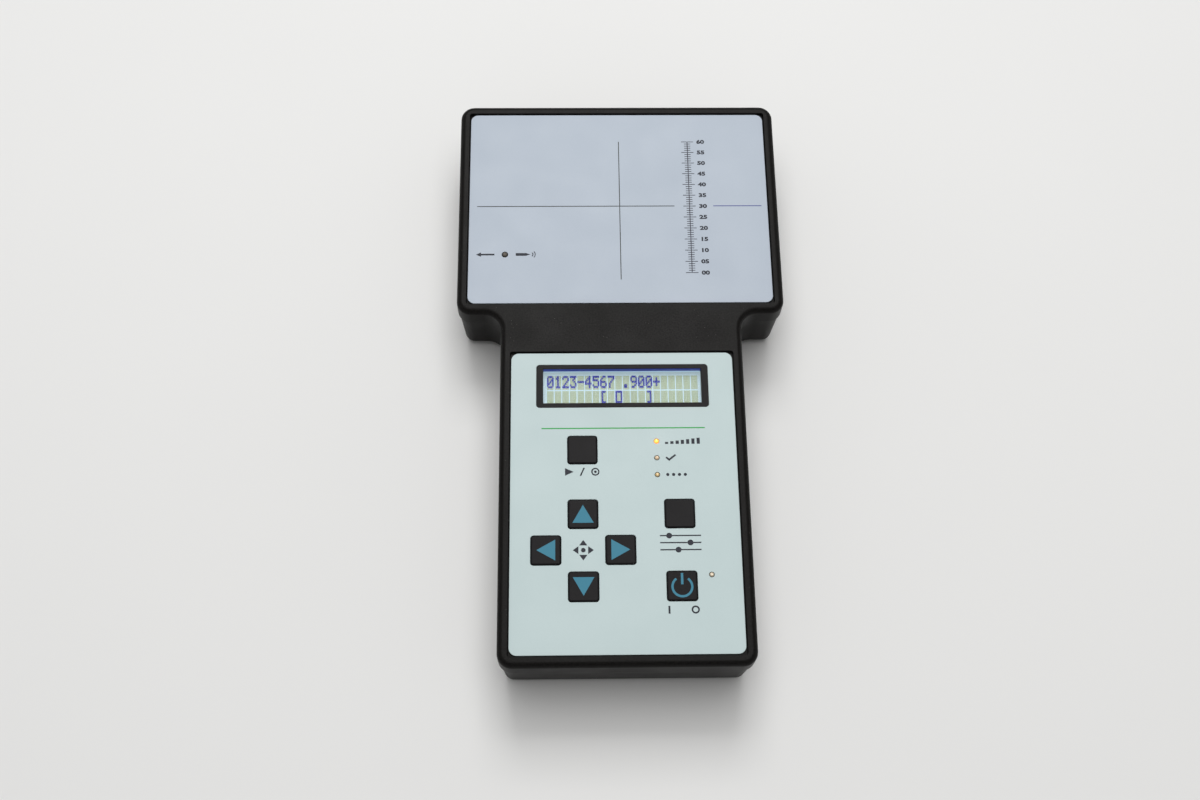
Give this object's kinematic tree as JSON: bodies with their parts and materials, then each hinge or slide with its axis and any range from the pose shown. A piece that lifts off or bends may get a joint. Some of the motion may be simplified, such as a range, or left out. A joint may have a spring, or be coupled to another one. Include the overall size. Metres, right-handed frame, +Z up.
{
  "type": "electronic gold tester",
  "caption": "Hand-held metal tester: flat sensor head with a printed ruler, keypad handle, character display, lamps, sliding battery door and side sockets.",
  "frame": {"origin": "on the table under the middle of the closed case", "axes": "+X to the user's right across the case, +Y along the handle towards the sensor head, +Z up out of the keypad"},
  "size_m": [0.129, 0.234, 0.0355],
  "materials": {
    "case_plastic": "fine textured moulding",
    "plate_laminate": "printed satin laminate",
    "overlay_film": "printed satin film",
    "bezel_plastic": "satin moulding",
    "clear_window": "clear, polished",
    "display_metal": "satin black",
    "display_glass": "pale, lit from behind",
    "white_diffuser": "translucent white",
    "circuit_board": "solder mask",
    "key_plastic": "satin moulding",
    "plunger_plastic": "moulded",
    "chip_plastic": "moulded",
    "lamp_lens": "diffused lens",
    "lamp_smoked": "smoked lens",
    "spool_plastic": "moulded",
    "coil_copper": "enamelled winding",
    "ribbon_vinyl": "flat cable",
    "socket_plastic": "moulded",
    "plated_metal": "nickel plated",
    "cell_jacket": "wrapped steel",
    "lead_vinyl": "insulated wire",
    "screw_steel": "zinc plated",
    "foot_rubber": "soft rubber"
  },
  "bodies": {
    "case": {"bottom_cover": "case_plastic", "top_cover": "case_plastic", "sensor_plate": "plate_laminate", "keypad_overlay": "overlay_film", "display_bezel": "bezel_plastic", "display_window": "clear_window", "lcd_frame": "display_metal", "lcd_glass": "display_glass", "lcd_backlight": "white_diffuser", "lcd_board": "circuit_board", "switch_bodies": "chip_plastic", "main_board": "circuit_board", "controller_chip": "chip_plastic", "board_parts": "chip_plastic", "lamp_upper": "lamp_lens", "lamp_middle": "lamp_lens", "lamp_lower": "lamp_lens", "lamp_power": "lamp_lens", "lamp_wand": "lamp_smoked", "sensor_board": "circuit_board", "coil_spool": "spool_plastic", "sensor_coil": "coil_copper", "sensor_ribbon": "ribbon_vinyl", "display_ribbon": "ribbon_vinyl", "ribbon_headers": "spool_plastic", "wand_socket": "socket_plastic", "wand_socket_nut": "plated_metal", "power_inlet": "socket_plastic", "inlet_pin": "plated_metal", "power_inlet_nut": "plated_metal", "cell_1": "cell_jacket", "cell_2": "cell_jacket", "cell_3": "cell_jacket", "cell_4": "cell_jacket", "contact_springs": "plated_metal", "contact_plates": "plated_metal", "battery_leads": "lead_vinyl", "case_screws": "screw_steel", "board_screws": "screw_steel", "feet": "foot_rubber"},
    "run_key": {"key_run": "key_plastic", "plunger_run": "plunger_plastic"},
    "up_key": {"key_up": "key_plastic", "plunger_up": "plunger_plastic"},
    "down_key": {"key_down": "key_plastic", "plunger_down": "plunger_plastic"},
    "left_key": {"key_left": "key_plastic", "plunger_left": "plunger_plastic"},
    "right_key": {"key_right": "key_plastic", "plunger_right": "plunger_plastic"},
    "mode_key": {"key_mode": "key_plastic", "plunger_mode": "plunger_plastic"},
    "power_key": {"key_power": "key_plastic", "plunger_power": "plunger_plastic"},
    "door": {"battery_door": "case_plastic"}
  },
  "joints": [
    {"name": "run_key_press", "type": "slide", "parent": "case", "child": "run_key", "axis": [0, 0, -1], "range_m": [0, 0.0005], "stiffness_N_per_m": 4000},
    {"name": "up_key_press", "type": "slide", "parent": "case", "child": "up_key", "axis": [0, 0, -1], "range_m": [0, 0.0005], "stiffness_N_per_m": 4000},
    {"name": "down_key_press", "type": "slide", "parent": "case", "child": "down_key", "axis": [0, 0, -1], "range_m": [0, 0.0005], "stiffness_N_per_m": 4000},
    {"name": "left_key_press", "type": "slide", "parent": "case", "child": "left_key", "axis": [0, 0, -1], "range_m": [0, 0.0005], "stiffness_N_per_m": 4000},
    {"name": "right_key_press", "type": "slide", "parent": "case", "child": "right_key", "axis": [0, 0, -1], "range_m": [0, 0.0005], "stiffness_N_per_m": 4000},
    {"name": "mode_key_press", "type": "slide", "parent": "case", "child": "mode_key", "axis": [0, 0, -1], "range_m": [0, 0.0005], "stiffness_N_per_m": 4000},
    {"name": "power_key_press", "type": "slide", "parent": "case", "child": "power_key", "axis": [0, 0, -1], "range_m": [0, 0.0005], "stiffness_N_per_m": 4000},
    {"name": "battery_door_slide", "type": "slide", "parent": "case", "child": "door", "axis": [0, -1, 0], "range_m": [0, 0.063]}
  ]
}
